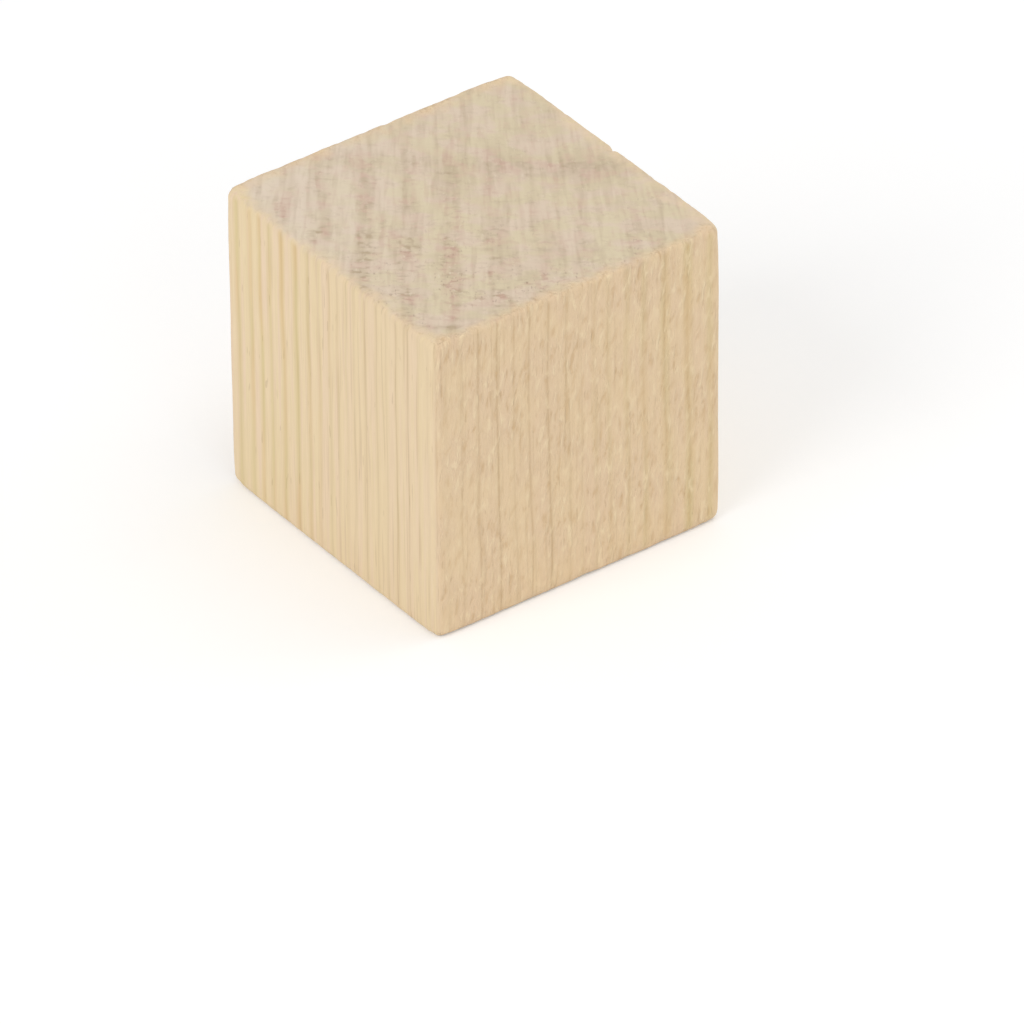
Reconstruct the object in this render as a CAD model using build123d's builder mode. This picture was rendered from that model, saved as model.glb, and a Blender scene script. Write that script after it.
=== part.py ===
from build123d import *
import os

# A plain wooden cube for the bench or desk: one solid piece of bare softwood.
# A board is planed to thickness and ripped into square strips. A strip's four long edges
# are eased, it is cross-cut into cubes, and the rims of the sawn ends are lightly sanded.
# Frame: the grain runs along Z, the two planed sides face Y, the two ripped sides face X,
# and the origin is the middle of the sawn end that the cube rests on.
# All sizes are in millimetres.

board_thickness = 20.0    # between the two planed sides, Y
strip_width = 20.0        # between the two ripped sides, X
cut_length = 20.0         # between the two sawn ends, along the grain, Z
long_edge_radius = 0.55   # easing of the strip's four long edges
rim_radius = 0.4          # sanding round the rim of each sawn end

with BuildPart() as cube_body:
    # The strip's square section, run up from the sawn end that the cube rests on.
    with BuildSketch(Plane.XY):
        Rectangle(strip_width, board_thickness)
    extrude(amount=cut_length)

    # The strip's long edges are eased before it is cross-cut.
    fillet(cube_body.edges().filter_by(Axis.Z), radius=long_edge_radius)

    # Both rims are sanded after the cut, round the eased corners as well.
    sawn_ends = cube_body.faces().filter_by(Plane.XY)
    fillet(sawn_ends.edges(), radius=rim_radius)

cube_body.part.label = "cube_body"

os.makedirs("parts", exist_ok=True)
export_step(cube_body.part, "parts/cube_body.step")
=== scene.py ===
"""A plain wooden cube: one block of bare softwood, planed and ripped from a board and sawn to length.

Blender works in metres here. Sizes whose names end in _mm are millimetres, and the grain's own
directions are in millimetres too.
"""

from math import cos, radians, sin

import bpy
import numpy as np
from mathutils import Matrix, Vector


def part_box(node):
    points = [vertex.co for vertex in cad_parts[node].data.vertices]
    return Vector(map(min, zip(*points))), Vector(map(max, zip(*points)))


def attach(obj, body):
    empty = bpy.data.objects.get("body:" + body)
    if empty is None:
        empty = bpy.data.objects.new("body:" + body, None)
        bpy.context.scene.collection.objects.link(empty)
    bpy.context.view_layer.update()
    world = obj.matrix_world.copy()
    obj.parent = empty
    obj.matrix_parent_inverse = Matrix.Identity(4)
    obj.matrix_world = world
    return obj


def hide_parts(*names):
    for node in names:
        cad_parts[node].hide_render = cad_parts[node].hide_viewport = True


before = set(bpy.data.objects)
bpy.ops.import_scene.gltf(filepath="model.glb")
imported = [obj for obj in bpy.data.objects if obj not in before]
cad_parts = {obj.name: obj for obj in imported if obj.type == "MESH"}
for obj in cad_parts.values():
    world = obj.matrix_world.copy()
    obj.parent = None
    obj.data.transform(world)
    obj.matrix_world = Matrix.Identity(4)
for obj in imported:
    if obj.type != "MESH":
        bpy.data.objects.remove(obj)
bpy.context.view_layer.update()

# ---- The wood ---------------------------------------------------------------------------------
# Slow-grown spruce or pine from the outer part of a trunk, with the grain standing upright. Each
# year left a wide pale band and a thin darker one, in arcs round the heart of the tree, which
# stood well behind the cube. The marks of the cross-cut run the other way, nearly square to them.

MM = 0.001
low_mm, high_mm = (np.array(corner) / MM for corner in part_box("cube_body"))
middle_mm = (low_mm + high_mm) / 2
half_mm = (high_mm - low_mm) / 2
front_corner_mm = np.array([high_mm[0], low_mm[1]])

heart = {"distance_mm": 120.0, "bearing": radians(140.25)}        # of the tree
saw_centre = {"distance_mm": 131.0, "bearing": radians(145.3)}    # that the saw marks fan from

YEARS = 36
YOUNG_YEARS = 12                     # the rings nearest the bark, which are the narrowest
young_width_mm, older_width_mm = 0.745, 0.90
width_spread = 0.16
first_dark_line_mm = 0.53            # in from the front corner
darkest_years_mm = (2.8, 5.0, 9.7, 10.6)
stained_year_mm = 18.25              # one year's band shows wide and soft on the ends

# The width seed was searched for, not picked freely: of 400,000 it puts the dark lines nearest to
# 18 places measured on the real cube, within about 0.07 mm, so it stands in for those measures.
# The tone seed came from a like search of 200,000, though the darkest years are now named above.
width_seed, tone_seed = 390018, 142051

widths_mm = np.where(np.arange(YEARS) < YOUNG_YEARS, young_width_mm, older_width_mm)
widths_mm = widths_mm * (1 + width_spread * np.random.default_rng(width_seed).normal(size=YEARS))
dark_lines_mm = first_dark_line_mm + np.concatenate([[-young_width_mm, 0], np.cumsum(widths_mm)])
year_tones = 0.75 * np.random.default_rng(tone_seed).random(YEARS + 2)
for year_mm in darkest_years_mm:
    year_tones[np.abs(dark_lines_mm - year_mm).argmin()] = 1.0


def fanned(places_mm, distance_mm, bearing):
    """Each place measured round a far centre, in from the front corner, and up.

    The centre lies at this distance and bearing from the cube's middle. The first measure is the
    angle from the line between the two, times the distance; the second is how much nearer the
    centre the place is than the front corner.
    """
    centre_mm = middle_mm[:2] + distance_mm * np.array([cos(bearing), sin(bearing)])
    outermost_mm = np.hypot(*(front_corner_mm - centre_mm))
    away = places_mm[:, :2] - centre_mm
    turned = np.angle(np.exp(1j * (np.arctan2(away[:, 1], away[:, 0]) - bearing - np.pi)))
    inwards = outermost_mm - np.hypot(away[:, 0], away[:, 1])
    return np.stack([distance_mm * turned, inwards, places_mm[:, 2]], axis=1)


def waves(places_mm, length_mm, seed, count=28):
    """A smooth random swell of about -1 to 1: waves of about one length, in random directions,
    added up and scaled by the root of their number."""
    dice = np.random.default_rng(seed)
    heading = dice.normal(size=(count, places_mm.shape[1]))
    heading /= np.linalg.norm(heading, axis=1, keepdims=True)
    turns = 2 * np.pi / (length_mm * dice.uniform(0.6, 1.7, (count, 1)))
    start = dice.uniform(0, 2 * np.pi, count)
    return np.cos(places_mm @ (heading * turns).T + start).sum(axis=1) / np.sqrt(count)


def rising(values, start, end):
    """A smooth step: 0 up to start, 1 from end on, and three parts square less two cubed between."""
    share = np.clip((values - start) / (end - start), 0, 1)
    return share * share * (3 - 2 * share)


# ---- The block --------------------------------------------------------------------------------
# One solid piece. The two sides that face Y were planed with the board, the two that face X were
# ripped by a saw and are left woolly, and the top and bottom are end grain, cut across by a saw.

FLAT_CELLS = np.array([138, 138, 72])
ROUND_CELLS = 6                      # over each eased edge's half of a corner
eased_zone_mm = 0.6
long_edge_mm, rim_mm, corner_mm = 0.55, 0.38, 0.65

# How deep each kind of relief goes.
ring_relief_mm = 0.0015
plane_relief_mm = 0.002
tuft_relief_mm = 0.018
tooth_relief_mm = 0.008
band_relief_mm = 0.006
crumb_relief_mm = 0.03
chip_relief_mm = 0.20
chip_size_mm = np.array([0.26, 0.5, 0.5])


def steps_along(half, flat_cells):
    """Places from -half to half: even steps on the flat, and in the eased zone at each end the
    tangents of even angles, which become even steps round the edge."""
    eased = eased_zone_mm * np.tan(np.linspace(0, np.pi / 4, ROUND_CELLS + 1))[1:]
    flat = np.linspace(eased_zone_mm - half, half - eased_zone_mm, flat_cells + 1)
    return np.concatenate([flat[0] - eased[::-1], flat, flat[-1] + eased])


def block_faces(cells):
    """The six faces of a block as grids: whole steps along X, Y and Z for each point, each point
    once, and quads that turn anticlockwise seen from outside."""
    stride = np.array([1, cells[0] + 1, (cells[0] + 1) * (cells[1] + 1)])
    quads = []
    for axis in range(3):
        first, second = (axis + 1) % 3, (axis + 2) % 3
        i, j = np.meshgrid(np.arange(cells[first] + 1), np.arange(cells[second] + 1), indexing="ij")
        for end in (0, cells[axis]):
            code = end * stride[axis] + i * stride[first] + j * stride[second]
            face = np.stack([code[:-1, :-1], code[1:, :-1], code[1:, 1:], code[:-1, 1:]], axis=-1)
            quads.append(face.reshape(-1, 4) if end else face.reshape(-1, 4)[:, ::-1])
    codes, corners = np.unique(np.concatenate(quads), return_inverse=True)
    steps = [codes % stride[1], codes // stride[1] % (cells[1] + 1), codes // stride[2]]
    return np.stack(steps, axis=1), corners.reshape(-1, 4)


steps, quads = block_faces(FLAT_CELLS + 2 * ROUND_CELLS)
box_mm = np.stack(
    [steps_along(half_mm[axis], FLAT_CELLS[axis])[steps[:, axis]] for axis in range(3)], axis=1
)
to_side_mm = half_mm - np.abs(box_mm)
grain = fanned(box_mm + middle_mm, **heart)
saw_path = fanned(box_mm + middle_mm, **saw_centre)

# The easing: a ball rolled round inside the box, smaller along the rims than along the upright
# edges, larger at the corners, and a little uneven.
rim_share = np.exp(-((to_side_mm[:, 2] / 0.8) ** 2))
corner_share = np.exp(-(to_side_mm**2).sum(axis=1) / 1.1**2)
easing = long_edge_mm + (rim_mm - long_edge_mm) * rim_share
easing = easing * (1 + 0.05 * waves(box_mm, 7.0, 11) + 0.05 * rim_share * waves(box_mm, 1.2, 12))
easing = easing + (corner_mm - rim_mm) * corner_share * (1 + 0.35 * waves(box_mm, 14.0, 13))
easing = np.clip(easing, 0.2, 1.4)[:, None]
ball = np.clip(box_mm, easing - half_mm, half_mm - easing)
outwards = box_mm - ball
outwards = outwards / np.linalg.norm(outwards, axis=1, keepdims=True)
eased_mm = ball + easing * outwards

end_face = np.abs(outwards[:, 2]) ** 2
ripped_face = np.abs(outwards[:, 0]) ** 2 * (1 - end_face)
planed_face = np.clip(1 - end_face - ripped_face, 0, 1)

# Rings: the year's number grows by one from each dark line to the next.
bend_mm = 0.05 * waves(grain * [0.3, 0.3, 1.0], 9.0, 21)
ring = np.interp(grain[:, 1] + bend_mm, dark_lines_mm, np.arange(YEARS + 2))
tone = np.interp(ring, np.arange(YEARS + 2), year_tones)
to_line = np.abs(ring - np.round(ring))
dark_wood = np.exp(-((to_line / 0.2) ** 2)) * (0.4 + 0.6 * tone)
soft_line = np.exp(-((to_line / 0.27) ** 2)) * tone

# Saw marks on the ends: dark bands a set distance apart, each of its own strength and patchy along
# its length. They are strong towards the front side, and faint towards the back and the right,
# along the two far rims and past the stained year.
band_step_mm = 2.39
first_band_mm = -1.24
band_number = (saw_path[:, 0] - first_band_mm) / band_step_mm + 0.06 * waves(saw_path, 5.0, 61)
band_tones = np.random.default_rng(62).uniform(0.45, 1.0, 41)
band = rising(np.cos(2 * np.pi * band_number), -0.25, 0.75)
band = band * band_tones[np.round(band_number).astype(int) + 20]
band = band * (0.40 + 0.55 * rising(-box_mm[:, 1] - 0.35 * box_mm[:, 0], -8.0, 6.0))
band = band * np.clip(0.80 + 0.22 * waves(saw_path * [1.0, 0.5, 1.0], 3.5, 63), 0.2, 1.2)
to_far_rim_mm = np.minimum(half_mm[0] + box_mm[:, 0], half_mm[1] - box_mm[:, 1])
band = band * (0.4 + 0.6 * rising(to_far_rim_mm, 0.5, 4.0))
band = band * (1 - 0.55 * rising(grain[:, 1], stained_year_mm - 1.5, stained_year_mm + 1.0))

# Where the sawn ends are torn: towards the right side and the front corner, and most of all in a
# short dark stain there, across the grain.
torn = rising(box_mm[:, 0] - 0.45 * box_mm[:, 1], -3.0, 13.0)
torn = torn * np.clip(0.7 + 0.5 * waves(box_mm, 5.0, 64), 0, 1)
short_stain = np.exp(-(((grain[:, 1] - 1.9) / 0.22) ** 2) - ((grain[:, 0] + 1.0) / 1.1) ** 2)
torn = torn + 0.8 * short_stain

# Relief, all of it inwards. Planing leaves the hard dark lines a hair proud; ripping tears up
# short tufts; the cross-cut leaves shallow tooth marks, crumbles the rims and chips the back one.
tufts = waves(grain * [1.0, 1.0, 0.30], 0.42, 31) * (0.6 + 0.4 * waves(box_mm, 3.0, 32))
tooth_marks = waves(saw_path * [1.0, 0.12, 0.12], 0.75, 33)
planed_relief = -ring_relief_mm * (1 - dark_wood) - plane_relief_mm * (1 + waves(box_mm, 7.0, 34))
ripped_relief = -tuft_relief_mm * (1 + np.tanh(tufts))
sawn_relief = -tooth_relief_mm * np.clip(1 + tooth_marks, 0, 2) - band_relief_mm * band
relief = planed_face * planed_relief + ripped_face * ripped_relief + end_face * sawn_relief

past_rim_mm = np.where(
    to_side_mm[:, 2] < 1e-6, np.minimum(to_side_mm[:, 0], to_side_mm[:, 1]), -to_side_mm[:, 2]
)
crumbs = np.clip(waves(box_mm, 0.9, 41) - 0.3, 0, 1.5)
crumbs = crumbs + 0.6 * np.clip(waves(box_mm, 0.4, 42), 0, 1)
relief = relief - crumb_relief_mm * crumbs * np.exp(-((past_rim_mm / 0.35) ** 2))
chip_mm = np.array([0.0, half_mm[1], half_mm[2]])
from_chip = np.linalg.norm((box_mm - chip_mm) / chip_size_mm, axis=1)
relief = relief - chip_relief_mm * np.exp(-(from_chip**4))

points_mm = np.clip(eased_mm + relief[:, None] * outwards, -half_mm, half_mm) + middle_mm

body_mesh = bpy.data.meshes.new("sawn_block")
body_mesh.from_pydata(points_mm * MM, [], quads.tolist())
body_mesh.shade_smooth()
block = bpy.data.objects.new("sawn_block", body_mesh)
bpy.context.scene.collection.objects.link(block)

# What the finish reads at each point: the directions of the grain and of the saw, the year and
# how dark its line is, and how far the surface is end grain, ripped, torn, stained, near an edge
# (for the ragged rim and a painted shade), near the bark or, far from it on the left, paler. End
# grain starts further in at the corners and the two far rims.
rim_wander_mm = 0.16 * waves(box_mm, 3.0, 50) + 0.16 * waves(box_mm, 1.0, 51) - 0.75 * corner_share
past_rim_mm = past_rim_mm / (1 + 0.8 * np.exp(-((to_far_rim_mm / 2.0) ** 2)))
end_share = rising(past_rim_mm + rim_wander_mm, -0.40, 0.95)
line_fade = rising(to_side_mm[:, 2] + 0.15 * waves(grain * [1, 1, 0], 0.8, 52), 0.0, 0.50)
wide_stain = np.exp(-((grain[:, 1] - stained_year_mm) ** 2))
wide_stain = wide_stain * (0.6 + 0.4 * rising(grain[:, 0], -4.0, 2.0))
nearest_edge_mm = np.sort(to_side_mm, axis=1)[:, 1]


def keep_at_points(**kept):
    """Writes a value, or a direction, for each point of the block under each name given."""
    for name, values in kept.items():
        kind, field = ("FLOAT_VECTOR", "vector") if values.ndim == 2 else ("FLOAT", "value")
        body_mesh.attributes.new(name, kind, "POINT").data.foreach_set(field, values.ravel())


keep_at_points(
    grain_mm=grain,
    saw_mm=saw_path,
    ring=ring,
    tone=tone,
    soft_line=soft_line,
    stain=wide_stain + 1.3 * short_stain,
    near_bark=1 - rising(grain[:, 1], 3.0, 13.0),
    paler=rising(-grain[:, 0], 1.0, 11.0),
    line_fade=line_fade,
    end_grain=end_share,
    ripped=rising(to_side_mm[:, 1] - to_side_mm[:, 0], -0.25, 0.35),
    worn=np.exp(-((nearest_edge_mm / 0.45) ** 2)),
    band=band,
    torn=torn,
)

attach(block, "root")
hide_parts("cube_body")

# ---- The finish -------------------------------------------------------------------------------
# Bare wood, never oiled or varnished. The sides are peach-coloured with straw-coloured lines and
# fine fibres; the sawn ends are greyer, banded by the saw one way and by the rings the other.

finish = bpy.data.materials.new("bare_softwood")
finish.use_nodes = True
nodes, links = finish.node_tree.nodes, finish.node_tree.links
nodes.clear()


def colour(red, green, blue):
    """A colour given as it shows on a screen, 0 to 255, in the linear values that shaders take."""
    shown = np.array([red, green, blue]) / 255
    linear = np.where(shown <= 0.04045, shown / 12.92, ((shown + 0.055) / 1.055) ** 2.4)
    return (*linear, 1.0)


def feed(socket, value):
    """Links a socket to another node's output, or sets it to a plain value."""
    if isinstance(value, bpy.types.NodeSocket):
        links.new(value, socket)
    else:
        socket.default_value = value


def measured(name, output="Fac"):
    """What the block keeps at its points under this name."""
    node = nodes.new("ShaderNodeAttribute")
    node.attribute_name = name
    return node.outputs[output]


def reckon(operation, *values, clamp=False):
    """A sum, product or other arithmetic of one to three values."""
    node = nodes.new("ShaderNodeMath")
    node.operation = operation
    node.use_clamp = clamp
    for socket, value in zip(node.inputs, values):
        feed(socket, value)
    return node.outputs[0]


def sloped(value, slope, start):
    """A straight line: the start, plus the slope times the value."""
    return reckon("MULTIPLY_ADD", value, slope, start)


def product(*values):
    """All the values multiplied together."""
    total = values[0]
    for value in values[1:]:
        total = reckon("MULTIPLY", total, value)
    return total


def mottle(place, per_mm, detail=2.0, roughness=0.5, twist=0.0):
    """A random cloud from 0 to 1, with this many patches to a millimetre each way."""
    stretch = nodes.new("ShaderNodeVectorMath")
    stretch.operation = "MULTIPLY"
    feed(stretch.inputs[0], place)
    feed(stretch.inputs[1], per_mm)
    cloud = nodes.new("ShaderNodeTexNoise")
    feed(cloud.inputs["Vector"], stretch.outputs[0])
    feed(cloud.inputs["Scale"], 1.0)
    feed(cloud.inputs["Detail"], detail)
    feed(cloud.inputs["Roughness"], roughness)
    feed(cloud.inputs["Distortion"], twist)
    return cloud.outputs[0]


def graded(value, *stops):
    """Grey levels along a value from 0 to 1, easing from stop to stop."""
    node = nodes.new("ShaderNodeValToRGB")
    node.color_ramp.interpolation = "EASE"
    elements = node.color_ramp.elements
    while len(elements) < len(stops):
        elements.new(0.5)
    for element, (place, level) in zip(elements, stops):
        element.position = place
        element.color = (level, level, level, 1.0)
    feed(node.inputs[0], value)
    return node.outputs[0]


def blended(share, first, second, kind="MIX"):
    """Two colours mixed, or one laid on the other, by a share from 0 to 1."""
    node = nodes.new("ShaderNodeMix")
    node.data_type = "RGBA"
    node.blend_type = kind
    feed(node.inputs["Factor"], share)
    feed(node.inputs[6], first)
    feed(node.inputs[7], second)
    return node.outputs[2]


grain_at = measured("grain_mm", "Vector")
saw_at = measured("saw_mm", "Vector")
year_tone = measured("tone")
near_bark = measured("near_bark")
ripped_share = measured("ripped")
torn_share = measured("torn")

# The dark line of each year, which ends sooner on the bark's side than on the heart's.
sway = sloped(mottle(grain_at, (0.9, 0.9, 0.12), 2.0), 0.16, -0.08)
phase = reckon("FRACT", reckon("ADD", reckon("ADD", measured("ring"), sway), 0.5))
bark_side = graded(phase, (0.20, 0.0), (0.49, 1.0))
line_width = sloped(near_bark, -0.12, 0.40)
faded = reckon("DIVIDE", reckon("SUBTRACT", phase, 0.5), line_width, clamp=True)
heart_side = graded(faded, (0.0, 1.0), (1.0, 0.0))
strength = product(sloped(year_tone, 0.4, 0.5), sloped(near_bark, -0.68, 1.0))
unbroken = reckon("ADD", mottle(grain_at, (1.2, 1.2, 0.10), 2.0), 0.50)
line = reckon("MULTIPLY", product(bark_side, heart_side, strength), unbroken, clamp=True)

# Long grain: cream to peach wood, straw to orange lines with a thin darker one in each, hair lines,
# fine fibres and a few resin ducts. Near the bark the wood is browner and its lines are fainter.
fine_fibres = mottle(grain_at, (9.0, 9.0, 0.45), 3.0, 0.6)
broad_fibres = mottle(grain_at, (2.4, 2.4, 0.08), 2.0)
cream = blended(graded(mottle(grain_at, (0.9, 0.9, 0.08), 1.0), (0.4, 0.0), (0.6, 1.0)),
                colour(236, 214, 178), colour(235, 214, 175))
pale_wood = blended(graded(broad_fibres, (0.45, 0.0), (0.62, 1.0)), cream, colour(236, 212, 182))
pale_wood = blended(reckon("MULTIPLY", near_bark, 0.4), pale_wood, colour(230, 207, 171))
late_wood = blended(graded(mottle(grain_at, (0.7, 0.7, 0.10), 1.0), (0.45, 0.0), (0.62, 1.0)),
                    colour(216, 197, 143), colour(222, 192, 141))
late_wood = blended(reckon("MULTIPLY", near_bark, 0.8), late_wood, colour(214, 191, 155))
ripped_wood = blended(graded(mottle(grain_at, (0.5, 0.5, 0.3), 2.0), (0.35, 0.0), (0.65, 1.0)),
                      colour(233, 206, 168), colour(231, 203, 169))
early_wood = blended(product(ripped_share, 0.85), pale_wood, ripped_wood)
line_fade = measured("line_fade")
side_line = product(line, line_fade, sloped(ripped_share, -0.25, 1.0))
side_colour = blended(side_line, early_wood, late_wood)
thin_line = graded(phase, (0.40, 0.0), (0.50, 1.0), (0.60, 0.0))
thin_depth = reckon("ADD", product(near_bark, 0.26), product(ripped_share, 0.14))
thin_line = product(thin_line, year_tone, unbroken, line_fade, thin_depth)
side_colour = blended(thin_line, side_colour, colour(184, 150, 108))
hair_lines = graded(mottle(grain_at, (5.0, 5.0, 0.14), 1.0), (0.56, 0.0), (0.70, 1.0))
hair_depth = product(sloped(near_bark, 0.16, 0.10), sloped(ripped_share, -0.2, 1.0))
side_colour = blended(product(hair_lines, hair_depth), side_colour, colour(186, 158, 116))
fibre_depth = graded(fine_fibres, (0.35, 0.12), (0.65, 0.0))
fibre_depth = product(fibre_depth, sloped(ripped_share, -0.5, 1.0))
side_colour = blended(fibre_depth, side_colour, colour(200, 170, 126))
ducts = graded(mottle(grain_at, (5.5, 5.5, 0.75), 0.0), (0.78, 0.0), (0.82, 1.0))
side_colour = blended(product(ducts, 0.25), side_colour, colour(170, 138, 96))

# Ripped sides: short tufts of torn fibre, with a painted highlight where they stand up
# and painted shade in the hollows between them.
lean = nodes.new("ShaderNodeMapping")
lean.vector_type = "POINT"
feed(lean.inputs["Vector"], grain_at)
feed(lean.inputs["Rotation"], (0.0, radians(-10.0), 0.0))
tuft = mottle(lean.outputs[0], (3.6, 3.6, 0.95), 2.0, 0.5, 0.3)
woolly = graded(mottle(grain_at, (0.45, 0.45, 0.30), 1.0), (0.36, 0.55), (0.60, 1.0))
# Painted shade in the hollows between the tufts.
painted_hollow_shade = product(graded(tuft, (0.26, 1.0), (0.47, 0.0)), ripped_share, woolly, 0.52)
side_colour = blended(painted_hollow_shade, side_colour, colour(204, 170, 124))
# Painted highlight on the tufts that stand up.
painted_tuft_highlight = product(graded(tuft, (0.53, 0.0), (0.72, 1.0)), ripped_share, woolly, 0.66)
side_colour = blended(painted_tuft_highlight, side_colour, colour(244, 222, 184))

# End grain: mauve-brown bands and fine marks along the saw's path, the rings as thin broken
# lines across them, two soft stains, and small dark dashes and pits where the cut tore.
saw_band = measured("band")
fine_marks = graded(mottle(saw_at, (1.4, 0.15, 0.3), 1.0), (0.42, 0.0), (0.62, 1.0))
hair_marks = mottle(saw_at, (3.3, 0.40, 0.3), 1.0, 0.5)
ring_marks = mottle(grain_at, (1.8, 3.2, 0.3), 1.0, 0.5)
hatched = graded(mottle(grain_at, (0.7, 0.9, 0.3), 2.0), (0.38, 0.25), (0.62, 1.0))
hatched = product(hatched, sloped(torn_share, 0.45, 0.65))
end_pale = blended(graded(mottle(grain_at, (0.45, 0.7, 0.3), 2.0), (0.42, 0.0), (0.58, 1.0)),
                   colour(224, 205, 183), colour(221, 206, 175))
end_pale = blended(reckon("MULTIPLY", measured("paler"), 0.6), end_pale, colour(229, 213, 194))
end_dark = blended(graded(mottle(grain_at, (0.8, 1.0, 0.3), 2.0), (0.45, 0.0), (0.60, 1.0)),
                   colour(188, 168, 141), colour(199, 167, 148))
end_marks = product(saw_band, sloped(hatched, 0.25, 0.155))
end_marks = reckon("ADD", end_marks, product(fine_marks, 0.23))
end_marks = reckon("ADD", end_marks, product(graded(hair_marks, (0.44, 0.0), (0.70, 1.0)), 0.25))
across = product(graded(ring_marks, (0.50, 0.0), (0.66, 1.0)), hatched)
across = product(across, sloped(torn_share, 0.7, 0.78), sloped(saw_band, 0.32, 0.30))
end_marks = reckon("ADD", end_marks, across)
broken = graded(mottle(grain_at, (1.6, 1.6, 0.3), 1.0), (0.42, 0.0), (0.58, 1.0))
end_marks = reckon("ADD", end_marks, product(measured("stain"), sloped(broken, 0.14, 0.22)))
crossing = reckon("ADD", sloped(saw_band, 0.60, 0.12), product(torn_share, 0.14))
end_marks = reckon("ADD", end_marks, product(measured("soft_line"), broken, crossing), clamp=True)
end_colour = blended(end_marks, end_pale, end_dark)
cells = mottle(saw_at, (4.8, 2.4, 1.0), 1.0, 0.6)
pit_depth = product(sloped(torn_share, 0.60, 0.15), hatched)
pits = product(graded(cells, (0.60, 0.0), (0.74, 1.0)), pit_depth)
end_colour = blended(pits, end_colour, colour(156, 128, 110))
specks = product(graded(cells, (0.26, 1.0), (0.40, 0.0)), hatched, 0.5)
end_colour = blended(specks, end_colour, colour(230, 216, 194))

# The two kinds of surface meet in a wide, soft, ragged rim.
ragged = reckon("SUBTRACT", mottle(grain_at, (2.6, 2.6, 0.6), 2.0), 0.50)
end_amount = reckon("ADD", measured("end_grain"), product(ragged, measured("worn")), clamp=True)
whole_colour = blended(end_amount, side_colour, end_colour)
# A painted shade: within about half a millimetre of every edge the colour is made a little darker, to
# damp the highlight the lamps leave on the rounded edges.
whole_colour = blended(measured("worn"), whole_colour, colour(252, 251, 250), "MULTIPLY")

# Relief too fine for the mesh, in millimetres.
fibre_height = reckon("MULTIPLY", fine_fibres, 0.005)
side_amount = reckon("SUBTRACT", 1.0, end_amount)
tuft_height = product(tuft, ripped_share, woolly, side_amount, 0.20)
pit_height = product(reckon("ADD", cells, hair_marks), end_amount, 0.018)
height = reckon("ADD", reckon("ADD", fibre_height, tuft_height), pit_height)
bump = nodes.new("ShaderNodeBump")
feed(bump.inputs["Strength"], 1.0)
feed(bump.inputs["Distance"], MM)
feed(bump.inputs["Height"], height)

surface = nodes.new("ShaderNodeBsdfPrincipled")
feed(surface.inputs["Base Color"], whole_colour)
feed(surface.inputs["Roughness"], sloped(fine_fibres, 0.2, 0.62))
feed(surface.inputs["Specular IOR Level"], 0.3)
feed(surface.inputs["Normal"], bump.outputs[0])
output = nodes.new("ShaderNodeOutputMaterial")
links.new(surface.outputs[0], output.inputs["Surface"])
body_mesh.materials.append(finish)

# ---- The studio -------------------------------------------------------------------------------
# A white sweep under the cube, a soft lamp in front on the left, three weaker ones on the right,
# above and behind, an even white room, and a long lens looking down on the front corner.

floor_half = 3.0
floor_mesh = bpy.data.meshes.new("floor")
floor_mesh.from_pydata(
    [
        (x * floor_half, y * floor_half, low_mm[2] * MM)
        for x, y in ((-1, -1), (1, -1), (1, 1), (-1, 1))
    ],
    [],
    [(0, 1, 2, 3)],
)
floor = bpy.data.objects.new("floor", floor_mesh)
bpy.context.scene.collection.objects.link(floor)

sweep = bpy.data.materials.new("white_sweep")
sweep.use_nodes = True
nodes, links = sweep.node_tree.nodes, sweep.node_tree.links
nodes.clear()
paper = nodes.new("ShaderNodeBsdfDiffuse")
feed(paper.inputs["Color"], (0.93, 0.93, 0.93, 1.0))
lift = nodes.new("ShaderNodeEmission")
light_path = nodes.new("ShaderNodeLightPath")
feed(lift.inputs["Strength"], reckon("MULTIPLY", light_path.outputs["Is Camera Ray"], 0.15))
both = nodes.new("ShaderNodeAddShader")
links.new(paper.outputs[0], both.inputs[0])
links.new(lift.outputs[0], both.inputs[1])
output = nodes.new("ShaderNodeOutputMaterial")
links.new(both.outputs[0], output.inputs["Surface"])
floor_mesh.materials.append(sweep)

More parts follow.
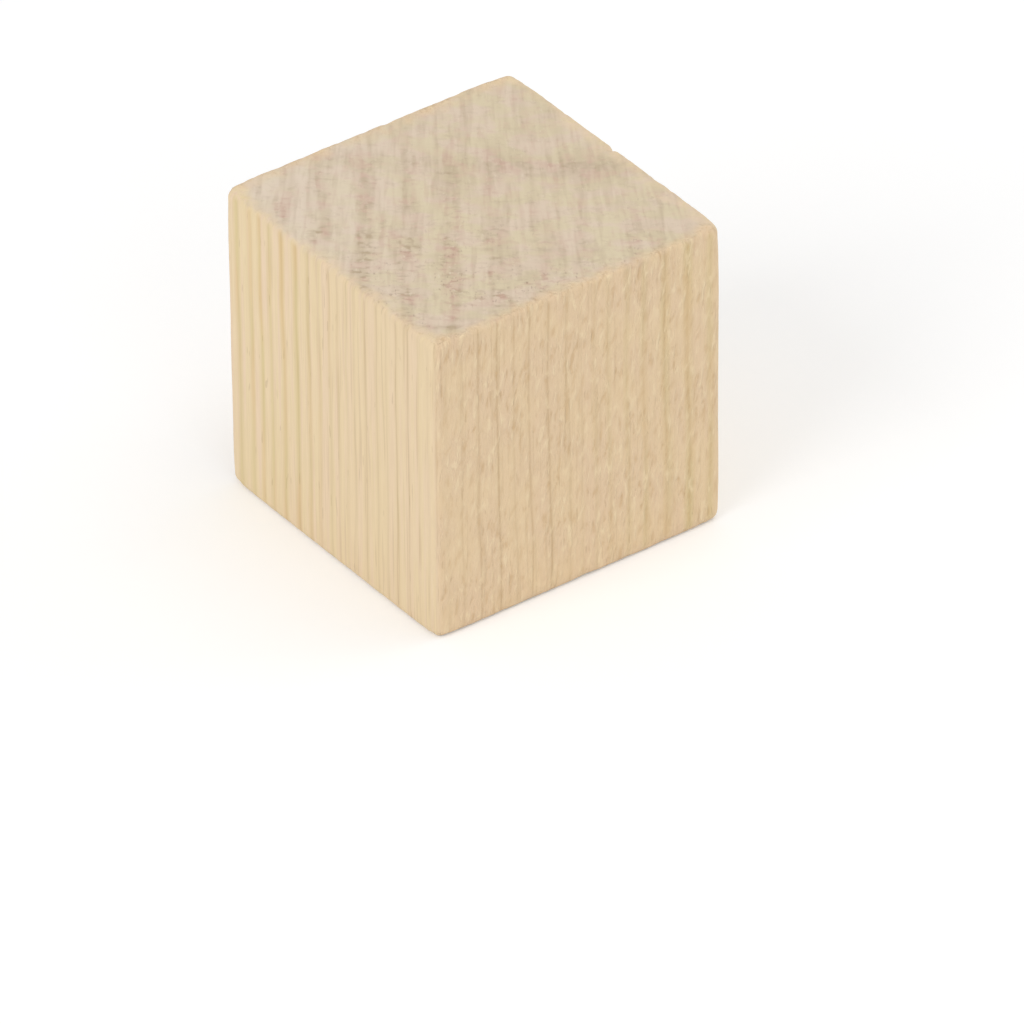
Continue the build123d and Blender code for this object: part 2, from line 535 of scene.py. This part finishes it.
world = bpy.data.worlds.new("studio")
bpy.context.scene.world = world
world.use_nodes = True
nodes, links = world.node_tree.nodes, world.node_tree.links
nodes.clear()
room_light = nodes.new("ShaderNodeBackground")
feed(room_light.inputs["Strength"], 0.62)
feed(room_light.inputs["Color"], (1.0, 1.0, 1.0, 1.0))
seen_white = nodes.new("ShaderNodeBackground")
feed(seen_white.inputs["Strength"], 1.0)
feed(seen_white.inputs["Color"], (1.0, 1.0, 1.0, 1.0))
light_path = nodes.new("ShaderNodeLightPath")
seen = reckon("MAXIMUM", light_path.outputs["Is Camera Ray"], light_path.outputs["Is Glossy Ray"])
seen = reckon("MAXIMUM", seen, light_path.outputs["Is Transmission Ray"])
either = nodes.new("ShaderNodeMixShader")
feed(either.inputs[0], seen)
links.new(room_light.outputs[0], either.inputs[1])
links.new(seen_white.outputs[0], either.inputs[2])
output = nodes.new("ShaderNodeOutputWorld")
links.new(either.outputs[0], output.inputs["Surface"])

cube_middle = Vector(middle_mm * MM)


def soft_lamp(name, towards, level, distance=0.6, width=0.35):
    """A square lamp aimed at the cube from a direction. Its level is what it adds to a white
    surface that faces it: pi squared times the distance squared is the power for a level of 1."""
    data = bpy.data.lights.new(name, "AREA")
    data.shape = "SQUARE"
    data.size = width
    data.energy = level * np.pi**2 * distance**2
    lamp = bpy.data.objects.new(name, data)
    direction = Vector(towards).normalized()
    lamp.location = cube_middle + distance * direction
    lamp.rotation_euler = direction.to_track_quat("Z", "Y").to_euler()
    bpy.context.scene.collection.objects.link(lamp)


soft_lamp("lamp_left", (0.12, -0.80, 0.58), 0.30)
soft_lamp("lamp_right", (0.85, -0.15, 0.50), 0.09)
soft_lamp("lamp_above", (0.10, 0.25, 0.96), 0.11)
soft_lamp("lamp_behind", (0.25, 0.90, 0.30), 0.16)

azimuth, elevation, roll = radians(53.89), radians(34.86), radians(-0.55)
camera_distance = 0.7625
slide_right, slide_up = 0.00205, -0.00897    # the cube sits up and to the left in the frame

back = Vector((sin(azimuth) * cos(elevation), -cos(azimuth) * cos(elevation), sin(elevation)))
level_right = Vector((cos(azimuth), sin(azimuth), 0))
level_up = back.cross(level_right)
camera_right = cos(roll) * level_right + sin(roll) * level_up
camera_up = cos(roll) * level_up - sin(roll) * level_right
place = cube_middle + camera_distance * back + slide_right * level_right + slide_up * level_up

lens = bpy.data.cameras.new("camera")
lens.lens = 475
lens.sensor_width = 36
camera = bpy.data.objects.new("camera", lens)
turned = Matrix((camera_right, camera_up, back)).transposed().to_4x4()
camera.matrix_world = Matrix.Translation(place) @ turned
bpy.context.scene.collection.objects.link(camera)
bpy.context.scene.camera = camera
bpy.context.scene.view_settings.view_transform = "Standard"
